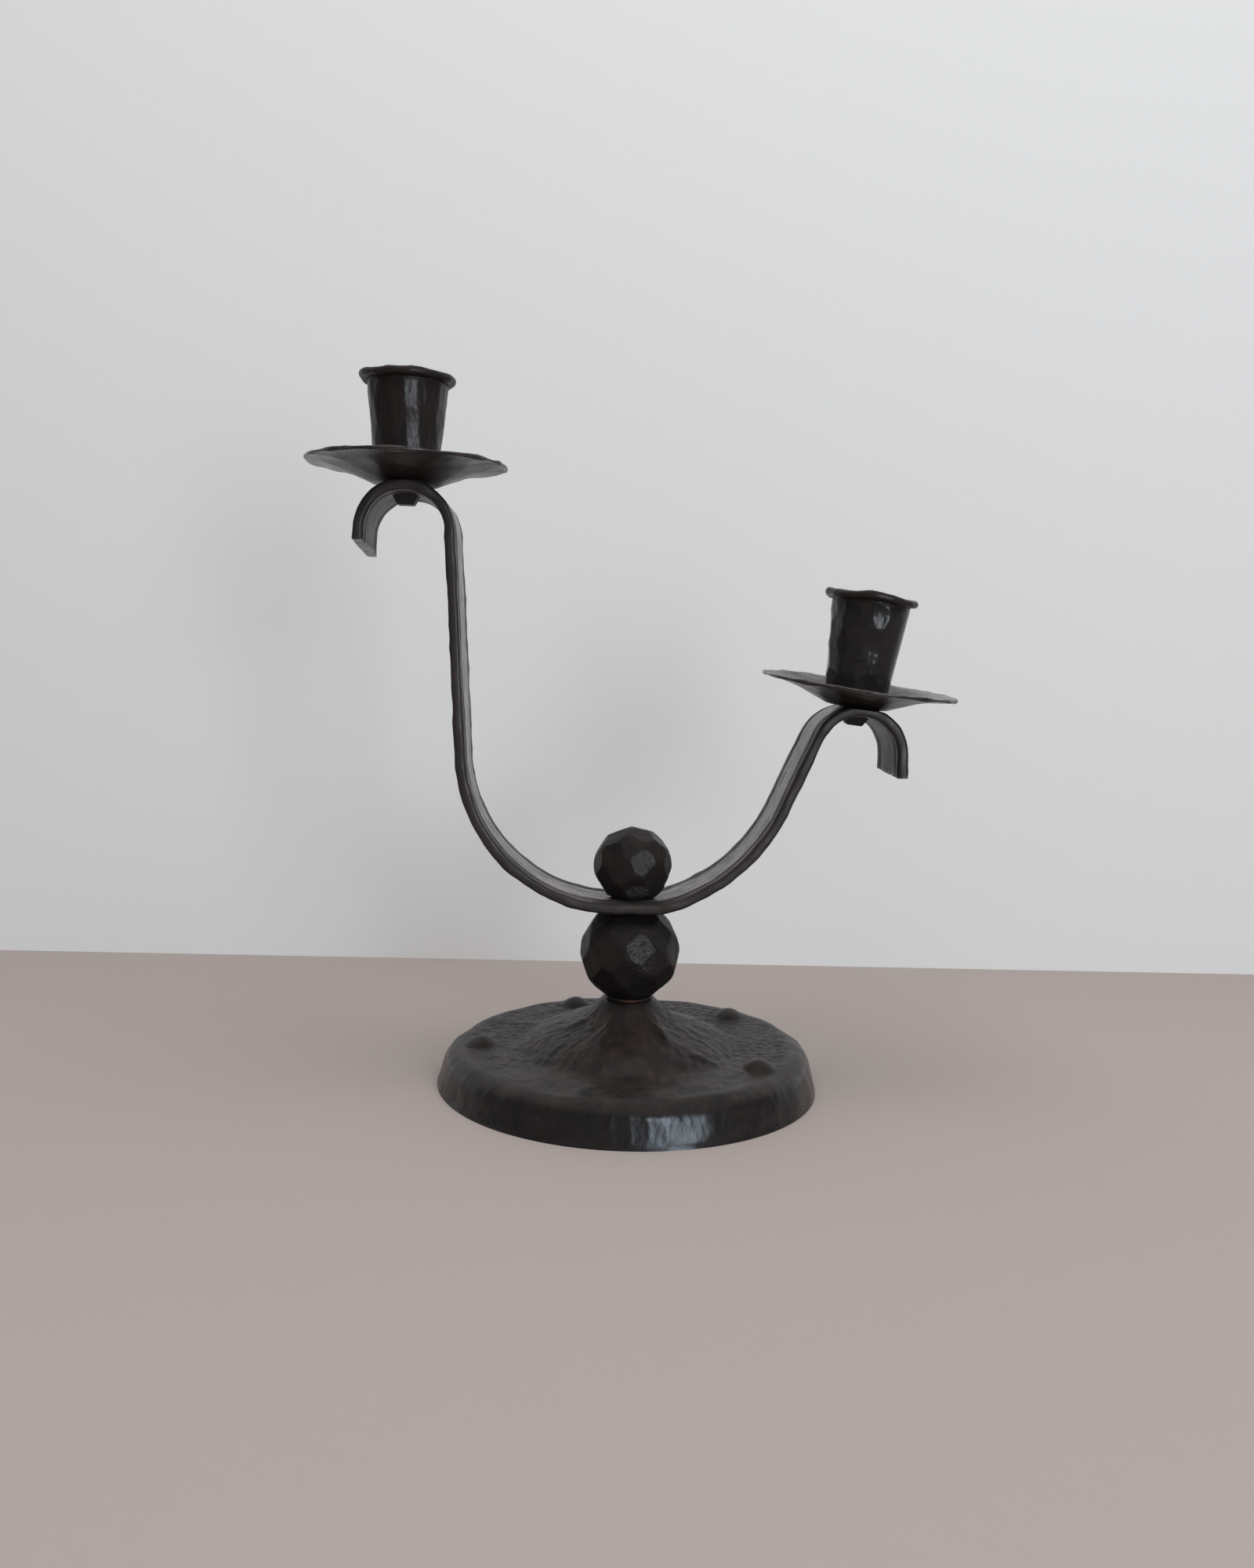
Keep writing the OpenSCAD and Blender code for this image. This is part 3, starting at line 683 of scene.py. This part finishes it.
LOWER_BALL_R, LOWER_FACETS, LOWER_PHASE = 0.016, 48, math.radians(101.5)
lower_low, lower_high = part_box("lower_ball")
forge_ball(
    "lower_forged_ball", "lower_ball", LOWER_BALL_R, LOWER_FACETS, LOWER_PHASE,
    middle=(lower_low.z + lower_high.z) / 2, bite=0.043, softness=6,
    rough_patch=Vector((0.003, -0.015, 0.044)), patch_bare_and_glint=0.15, bore_top=rod_high.z,
)

# Arm strap
# One bar of iron for both arms, drawn flat with beaded edges and two groove lines along each, bent up left
# and right from the middle and curled over at both ends. It turns on the tie rod between the two balls.
strap_low, strap_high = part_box("arm_strap")
STRAP_T = 0.0033
STRAP_W = strap_high.y - strap_low.y
strap_mid = strap_low.z + STRAP_T / 2
LEVEL_HALF, TOE_R, ARCH_R, TAIL_SLOPE = 0.0073, 0.008, 0.0136, math.radians(88)
# Each groove line has a distance from the edge, a depth and half its width
GROOVES = ((0.0036, 0.0006, 0.0005), (0.0052, 0.0004, 0.00035))
FIELD_LINES = 9
ARMS = {
    1: {"reach": 0.0684, "top": 0.1234, "slope": 66.6, "toe": 16, "tail": 0.0066, "cut": -2.6},
    -1: {"reach": 0.0722, "top": 0.1873, "slope": 86.4, "toe": 2, "tail": 0.005, "cut": 5.5},
}
# The strap's lower face is kept duller and darker; the darkening is painted shade on the inner faces of the
# curled tails
RING_STEP, UNDER_SHADE_AND_DULL = 0.0013, 0.7
SEATS = {
    "right": {"hand": 1, "lean": 6.2, "nod": 4, "shift": -0.0004},
    "left": {"hand": -1, "lean": 0.2, "nod": 1, "shift": -0.0012},
}
SEAT_FLAT, FILE_SIZE, TURN_GAP, RIVET_R = 0.0003, 0.04, 0.00008, 0.002
STRAP_WAVE, EDGE_DENTS = (0.014, 0.0004), (0.0055, 0.0005)

strap = start(
    bpy.ops.mesh.primitive_plane_add, size=1,
    location=(LEVEL_HALF, 0, strap_mid), rotation=(0, math.radians(90), 0),
)
bpy.ops.transform.resize(value=(1, STRAP_W, STRAP_T), center_override=(LEVEL_HALF, 0, strap_mid))
bpy.ops.mesh.bevel(offset=STRAP_T * 0.33, segments=5, affect="VERTICES")
lines = []
for inset, _, half in GROOVES:
    for bead in (-1, 1):
        middle = bead * (STRAP_W / 2 - inset)
        lines += [middle - half, middle, middle + half]
inner = STRAP_W / 2 - GROOVES[-1][0] - GROOVES[-1][2]
lines += [inner * (2 * i / (FIELD_LINES + 1) - 1) for i in range(1, FIELD_LINES + 1)]
for line in lines:
    bpy.ops.mesh.select_all(action="SELECT")
    bpy.ops.mesh.bisect(plane_co=(0, line, 0), plane_no=(0, 1, 0))
for inset, depth, half in GROOVES:
    for face in (-1, 1):
        pick(strap, lambda p: abs(abs(p.y) - STRAP_W / 2 + inset) < half / 4 and (p.z - strap_mid) * face > 0)
        bpy.ops.transform.translate(value=(0, 0, -face * depth))
bpy.ops.object.mode_set(mode="OBJECT")
# The strap's lower face, whose darkening is painted shade
under = mark_out(strap, "under", lambda p, n: UNDER_SHADE_AND_DULL if p.z < strap_mid else 0)
bpy.ops.object.mode_set(mode="EDIT")


def run_on(head, length):
    """Carries the strap straight on, and gives its new end."""
    place, way = head
    parts = max(1, round(length / RING_STEP))
    step = Vector((math.cos(way), 0, math.sin(way))) * length / parts
    for _ in range(parts):
        bpy.ops.mesh.extrude_region_move(TRANSFORM_OT_translate={"value": step})
    return place + step * parts, way


def bend_on(head, radius, turn):
    """Carries the strap on round a bend, to the left for a positive turn, and gives its new end."""
    place, way = head
    side = math.copysign(radius, turn)
    centre = place + side * Vector((-math.sin(way), 0, math.cos(way)))
    parts = max(2, round(radius * abs(turn) / RING_STEP))
    bpy.ops.mesh.spin(steps=parts, angle=turn, center=centre, axis=(0, 1, 0))
    way += turn
    return centre - side * Vector((-math.sin(way), 0, math.cos(way))), way


tail_ends = []
for hand, arm in ARMS.items():
    slope, toe = math.radians(arm["slope"]), math.radians(arm["toe"])
    pick(strap, lambda p: abs(p.x - LEVEL_HALF) < 1e-6)
    head = Vector((LEVEL_HALF, 0, strap_mid)), 0 if hand > 0 else math.pi
    if hand < 0:
        head = run_on(head, 2 * LEVEL_HALF)
    rise_x = arm["reach"] - LEVEL_HALF - TOE_R * math.sin(toe) - ARCH_R * math.sin(slope)
    arch_mid = arm["top"] - ARCH_R - STRAP_T / 2
    rise_z = arch_mid - strap_mid - TOE_R * (1 - math.cos(toe)) + ARCH_R * math.cos(slope)
    bend_x, bend_z = math.sin(slope) - math.sin(toe), math.cos(toe) - math.cos(slope)
    spread = bend_x * math.sin(slope) - bend_z * math.cos(slope)
    bend_r = (rise_x * math.sin(slope) - rise_z * math.cos(slope)) / spread
    straight = (bend_x * rise_z - bend_z * rise_x) / spread
    head = bend_on(head, TOE_R, hand * toe)
    head = bend_on(head, bend_r, hand * (slope - toe))
    head = run_on(head, straight)
    head = bend_on(head, ARCH_R, -hand * (slope + TAIL_SLOPE))
    head = run_on(head, arm["tail"])
    bpy.ops.transform.rotate(value=math.radians(arm["cut"]), orient_axis="X", center_override=head[0])
    tail_ends.append(head[0])
bpy.ops.mesh.select_all(action="SELECT")
bpy.ops.mesh.normals_make_consistent(inside=False)
bpy.ops.object.mode_set(mode="OBJECT")

edges = mark_out(strap, "edges", lambda p, n: ramp(STRAP_W / 2 - 0.0034, STRAP_W / 2 - 0.001, abs(p.y)))
warp(strap, *STRAP_WAVE)
strike(strap, *EDGE_DENTS, edges)


def on_arch(side):
    """Where a pan sits: the middle of its floor goes from the origin to the arch, leaning and nodding."""
    seat = SEATS[side]
    arm = ARMS[seat["hand"]]
    crown = ARCH_R + STRAP_T / 2
    return (
        Matrix.Translation((seat["hand"] * arm["reach"], 0, arm["top"] - crown))
        @ Matrix.Rotation(math.radians(seat["lean"]), 4, "Y")
        @ Matrix.Translation((seat["shift"], 0, crown - SEAT_FLAT))
        @ Matrix.Rotation(math.radians(seat["nod"]), 4, "X")
    )


def set_on_arch(piece, side):
    """Moves the closed piece from the origin to its seat, with its place in its mesh."""
    bpy.ops.object.select_all(action="DESELECT")
    piece.select_set(True)
    bpy.context.view_layer.objects.active = piece
    piece.matrix_world = on_arch(side)
    bpy.ops.object.transform_apply(location=True, rotation=True, scale=True)


rivet_hole = RIVET_R + HOLE_GAP
for side in SEATS:
    file = start(bpy.ops.mesh.primitive_cube_add, size=FILE_SIZE, location=(0, 0, FILE_SIZE / 2))
    cut_away(strap, file, on_arch(side))
    cut_away(strap, drill(rivet_hole, -2 * STRAP_T, STRAP_T), on_arch(side))
cut_away(strap, drill(rod_high.x + TURN_GAP, strap_mid - STRAP_T, strap_mid + STRAP_T))


def field(place):
    """1 on the strap's field, less on its beads, whose darkening is painted shade, 0 in its groove lines and
    on its cut ends.
    """
    for inset, _, half in GROOVES:
        if abs(abs(place.y) - STRAP_W / 2 + inset) < half * 1.1:
            return 0
    for end in tail_ends:
        if abs(place.x - end.x) < STRAP_T and place.z < end.z + STRAP_T / 2:
            return 0
    return 1 - 0.85 * ramp(STRAP_W / 2 - 0.0032, STRAP_W / 2 - 0.002, abs(place.y))


# The rubbed field goes light bare, partly as painted reflection of the wall on the inner faces; the beads and
# the lower face stay darker as painted shade
rub(strap, lambda p, n: 0.95 * field(p), 2, under)
close(strap, "beaded_strap")
strap.data.materials.append(
    blacken(
        "strap_iron", (0.0175, 0.0138, 0.0128), (0.032, 0.0237, 0.021), (0.16, 0.147, 0.14),
        shiny=0.24, dull=0.5, grain=(0.3, 1, 0.3), patchy=0.75, cloud=200, pit=800,
    )
)
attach(strap, "arm")
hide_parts("arm_strap")

# Upper ball
# A smaller ball of the same make. It screws down on the tie rod and clamps the strap on the lower ball.
UPPER_BALL_R, UPPER_FACETS, UPPER_PHASE = 0.0125, 40, math.radians(21.5)
upper_low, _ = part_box("upper_ball")
UPPER_SEAT_R, BLIND_ROOM = 0.0071, 0.0005
forge_ball(
    "upper_forged_ball", "upper_ball", UPPER_BALL_R, UPPER_FACETS, UPPER_PHASE,
    middle=upper_low.z + math.sqrt(UPPER_BALL_R**2 - UPPER_SEAT_R**2), bite=0.052, softness=3,
    rough_patch=Vector((0.001, -0.0085, 0.0625)), patch_bare_and_glint=0.45, bore_top=rod_high.z + BLIND_ROOM,
)

# Tie rod, washer and nut
# A steel rod holds the stack together. It shows only from below, under the neck, where a washer and a
# square nut draw it tight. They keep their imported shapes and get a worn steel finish.
bare_steel = blacken(
    "bare_steel", (0.16, 0.15, 0.14), (0.24, 0.2, 0.17), (0.4, 0.38, 0.36), shiny=0.3, dull=0.55, metallic=0.9
)
for name in ("tie_rod", "clamp_washer", "clamp_nut"):
    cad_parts[name].data.materials.clear()
    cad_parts[name].data.materials.append(bare_steel)

# Drip pans
# Two shallow dishes of thin sheet, hammered out by hand, so their rims are neither quite round nor level.
# Each sits on the flat of its arch and is held by the rivet through its middle.
PAN_SHEET, PAN_R, PAN_RISE = 0.0011, 0.0308, 0.0059
PAN_FLOOR_R, PAN_EASE, PAN_PARTS, PAN_TURNS = 0.0099, math.radians(84), 22, 240
BOWL_DENTS, BRIM_WAVE, BRIM_DENT = (0.007, 0.0005), 0.016, 0.005
BRIM_DEPTH = {"right": 0.0005, "left": 0.0009}
# How much each pan is lightened at its left end and at its right end: partly rubbing, partly painted
# reflection of the floor and wall
PAN_END_WEAR_AND_REFLECTION = {"right": (0.08, 0.45), "left": (0.75, 0.05)}
pan_iron = blacken(
    "pan_iron", (0.012, 0.0095, 0.0085), (0.025, 0.0188, 0.016), (0.085, 0.075, 0.069),
    shiny=0.2, dull=0.42, patchy=0.6,
)


def pan_reach(part):
    """Distance from the pan's middle at a part of the way from floor to rim."""
    return PAN_FLOOR_R + (PAN_R - PAN_SHEET / 2 - PAN_FLOOR_R) * part


def pan_rise(part):
    """Height of the pan's underside at a part of the way from floor to rim."""
    return PAN_RISE * math.sin(PAN_EASE * part) / math.sin(PAN_EASE)


def pan_wear_and_reflection(place, facing, wear_and_light):
    """More on the upper face and on the very edge, and towards the pan's two ends, where it is partly rubbing
    and partly painted reflection of the floor and wall.
    """
    face = 0.25 * ramp(0.2, 0.6, facing.z)
    edge = 0.35 * ramp(PAN_R - 0.0014, PAN_R - 0.0006, out(place))
    end = wear_and_light[0 if place.x < 0 else 1] * ramp(PAN_R * 0.45, PAN_R, abs(place.x))
    return 0.35 + face + edge + end


for side in SEATS:
    pan = start_point((rivet_hole, 0, 0))
    pen = draw_line((rivet_hole, 0, 0), (PAN_FLOOR_R, 0, 0), 6)
    for i in range(1, PAN_PARTS + 1):
        part = i / PAN_PARTS
        pen = draw_line(pen, (pan_reach(part), 0, pan_rise(part)), 1)
    pen = draw_arc(pen, pen + Vector((0, 0, PAN_SHEET / 2)), math.radians(-180), 6)
    for i in range(PAN_PARTS - 1, -1, -1):
        part = i / PAN_PARTS
        pen = draw_line(pen, (pan_reach(part), 0, pan_rise(part) + PAN_SHEET), 1)
    pen = draw_line(pen, (rivet_hole, 0, PAN_SHEET), 6)
    draw_line(pen, (rivet_hole, 0, 0), 1)
    turn_on_axis(PAN_TURNS)
    bpy.ops.object.mode_set(mode="OBJECT")
    bowl = mark_out(pan, "bowl", lambda p, n: ramp(PAN_FLOOR_R, PAN_FLOOR_R + 0.006, out(p)))
    brim = mark_out(pan, "brim", lambda p, n: ramp(PAN_R - 0.009, PAN_R, out(p)))
    seat = on_arch(side).translation
    strike(pan, *BOWL_DENTS, bowl, at=seat)
    warp(pan, BRIM_WAVE, BRIM_DEPTH[side], brim, at=seat)
    strike(pan, BRIM_DENT, BRIM_DEPTH[side] / 3, brim, at=seat)
    # The two ends of each pan are lightened partly as painted reflection of the floor and wall
    rub(pan, lambda p, n: pan_wear_and_reflection(p, n, PAN_END_WEAR_AND_REFLECTION[side]))
    set_on_arch(pan, side)
    close(pan, "hammered_pan_" + side)
    pan.data.materials.append(pan_iron)
    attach(pan, "arm")
    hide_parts("drip_pan_" + side)

# Candle cups
# Two tapered cups of sheet, hammered on a mandrel into long upright flats, with the mouth rolled out into a
# thick lip. Each stands on its pan and is held by the same rivet.
CUP_WALL, CUP_FLOOR_R, MOUTH_R, LIP_T, LIP_REACH = 0.0011, 0.0095, 0.0112, 0.0025, 0.0024
CUP_HEIGHTS = {"right": 0.034, "left": 0.0318}
CUP_TURNS = 240
CUP_SHIFT = {"right": -0.0007, "left": 0}
CUP_BRIGHT = {"right": 0.95, "left": 0.48}
# The long flats of each cup: their width, depth and stretch, and where on their pattern the cup lies
CUP_FLATS = {
    "right": {"dent": 0.0042, "depth": 0.0008, "tall": 1.7, "start": (0.1978, 0.1334, 0.3082)},
    "left": {"dent": 0.0036, "depth": 0.0006, "tall": 2.6, "start": (0.0559, 0.0377, 0.0871)},
}
CUP_SMOOTHING, CUP_DENTS, CUP_DENTS_TALL = 14, (0.0013, 0.00012), 1.8
LIP_DENTS, LIP_WAVE = (0.0045, 0.0004), (0.011, 0.0007)
# Where the mouth is bent up, and by how much
LIP_LIFT = {"right": ((-0.002, -0.013, 0.0011), (-0.014, 0, 0.0008)), "left": ((-0.014, -0.004, 0.0009),)}
cup_iron = blacken(
    "cup_iron", (0.016, 0.0134, 0.0128), (0.0255, 0.0188, 0.0173), (0.0225, 0.0214, 0.0214),
    shiny=0.12, dull=0.5, grain=(1, 1, 0.25), gloss=0.19,
)
wall_top = MOUTH_R + CUP_WALL
lip_out = wall_top + LIP_REACH - LIP_T / 2
for side, height in CUP_HEIGHTS.items():
    lip_z = PAN_SHEET + height - LIP_T / 2
    cup = start_point((rivet_hole, 0, PAN_SHEET))
    pen = draw_line((rivet_hole, 0, PAN_SHEET), (CUP_FLOOR_R, 0, PAN_SHEET), 5)
    pen = draw_line(pen, (wall_top, 0, lip_z - LIP_T / 2), 80)
    pen = draw_line(pen, (lip_out, 0, lip_z - LIP_T / 2), 2)
    pen = draw_arc(pen, (lip_out, 0, lip_z), math.radians(-180), 8)
    pen = draw_line(pen, (MOUTH_R + LIP_T / 2, 0, lip_z + LIP_T / 2), 3)
    pen = draw_arc(pen, (MOUTH_R + LIP_T / 2, 0, lip_z), math.radians(-90), 4)
    pen = draw_line(pen, (CUP_FLOOR_R - CUP_WALL, 0, PAN_SHEET + CUP_WALL), 30)
    pen = draw_line(pen, (rivet_hole, 0, PAN_SHEET + CUP_WALL), 5)
    draw_line(pen, (rivet_hole, 0, PAN_SHEET), 1)
    turn_on_axis(CUP_TURNS)
    for x, y, rise in LIP_LIFT[side]:
        pull(cup, (x, y, lip_z + LIP_T / 2), (0, 0, rise), MOUTH_R)
    bpy.ops.mesh.select_all(action="SELECT")
    bpy.ops.transform.translate(value=(CUP_SHIFT[side], 0, 0))
    bpy.ops.object.mode_set(mode="OBJECT")
    wall_lean = (wall_top - CUP_FLOOR_R) / (lip_z - LIP_T / 2 - PAN_SHEET)

    def on_lip(place):
        return ramp(lip_z - LIP_T, lip_z - LIP_T / 2, place.z)

    def on_outside(place):
        wall_r = CUP_FLOOR_R + wall_lean * (place.z - PAN_SHEET)
        return ramp(-0.0006, -0.0002, out(place) - wall_r)

    flats = mark_out(cup, "flats", lambda p, n: on_outside(p) * (1 - on_lip(p)))
    lip = mark_out(cup, "lip", lambda p, n: on_lip(p))
    seat = on_arch(side).translation
    blows = CUP_FLATS[side]
    strike(cup, blows["dent"], blows["depth"], flats, (1, 1, blows["tall"]), seat + Vector(blows["start"]))
    finish_with(cup, "SMOOTH", factor=0.5, iterations=CUP_SMOOTHING, vertex_group=flats)
    strike(cup, *CUP_DENTS, flats, (1, 1, CUP_DENTS_TALL), seat)
    strike(cup, *LIP_DENTS, lip, at=seat)
    warp(cup, *LIP_WAVE, lip, at=seat)
    rub(cup, lambda p, n: CUP_BRIGHT[side] * (1 - 0.7 * on_lip(p)), 1)
    set_on_arch(cup, side)
    close(cup, "hammered_cup_" + side)
    cup.data.materials.append(cup_iron)
    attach(cup, "arm")
    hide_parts("candle_cup_" + side)

# Rivets
# One through each arch, pan and cup floor. The head under the arch is cut square and chamfered to a blunt
# tip, and the other end is set to a dome inside the cup.
HEAD_W, HEAD_TIP_W, HEAD_H, DOME_R, DOME_H = 0.008, 0.005, 0.003, 0.004, 0.0018
HEAD_BEVEL, RIVET_TURNS = 0.0003, 48
rivet_iron = blacken(
    "rivet_iron", (0.01, 0.0098, 0.0095), (0.018, 0.015, 0.013), (0.05, 0.048, 0.046), shiny=0.35, dull=0.6
)
head_top = SEAT_FLAT - STRAP_T
floor_top = PAN_SHEET + CUP_WALL
dome_curve = (DOME_R**2 + DOME_H**2) / (2 * DOME_H)
tip_share = HEAD_TIP_W / HEAD_W
for side in SEATS:
    shank = start_point((0, 0, head_top - HEAD_H / 2))
    pen = draw_line((0, 0, head_top - HEAD_H / 2), (RIVET_R, 0, head_top - HEAD_H / 2), 1)
    pen = draw_line(pen, (RIVET_R, 0, floor_top), 1)
    pen = draw_line(pen, (DOME_R, 0, floor_top), 1)
    draw_arc(pen, (0, 0, floor_top + DOME_H - dome_curve), -math.asin(DOME_R / dome_curve), 8)
    turn_on_axis(RIVET_TURNS)
    bpy.ops.object.mode_set(mode="OBJECT")
    head = start(bpy.ops.mesh.primitive_cube_add, size=HEAD_W, location=(0, 0, head_top + HEAD_W / 2))
    pick(head, lambda p: p.z > head_top + HEAD_W / 2)
    bpy.ops.transform.translate(value=(0, 0, HEAD_H / 4 - HEAD_W))
    pick(head, lambda p: p.z < head_top + HEAD_H / 8)
    bpy.ops.mesh.extrude_region_move(TRANSFORM_OT_translate={"value": (0, 0, -HEAD_H)})
    bpy.ops.transform.resize(value=(tip_share, tip_share, 1), center_override=(0, 0, 0))
    bpy.ops.mesh.select_all(action="SELECT")
    bpy.ops.mesh.normals_make_consistent(inside=False)
    bpy.ops.mesh.bevel(offset=HEAD_BEVEL, segments=2, affect="EDGES")
    bpy.ops.object.mode_set(mode="OBJECT")
    finish_with(head, "BOOLEAN", operation="UNION", object=shank, solver="EXACT")
    bpy.data.objects.remove(shank)
    rub(head, lambda p, n: 0.3)
    set_on_arch(head, side)
    close(head, "square_rivet_" + side, 25)
    head.data.materials.append(rivet_iron)
    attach(head, "arm")
    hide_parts("rivet_" + side)
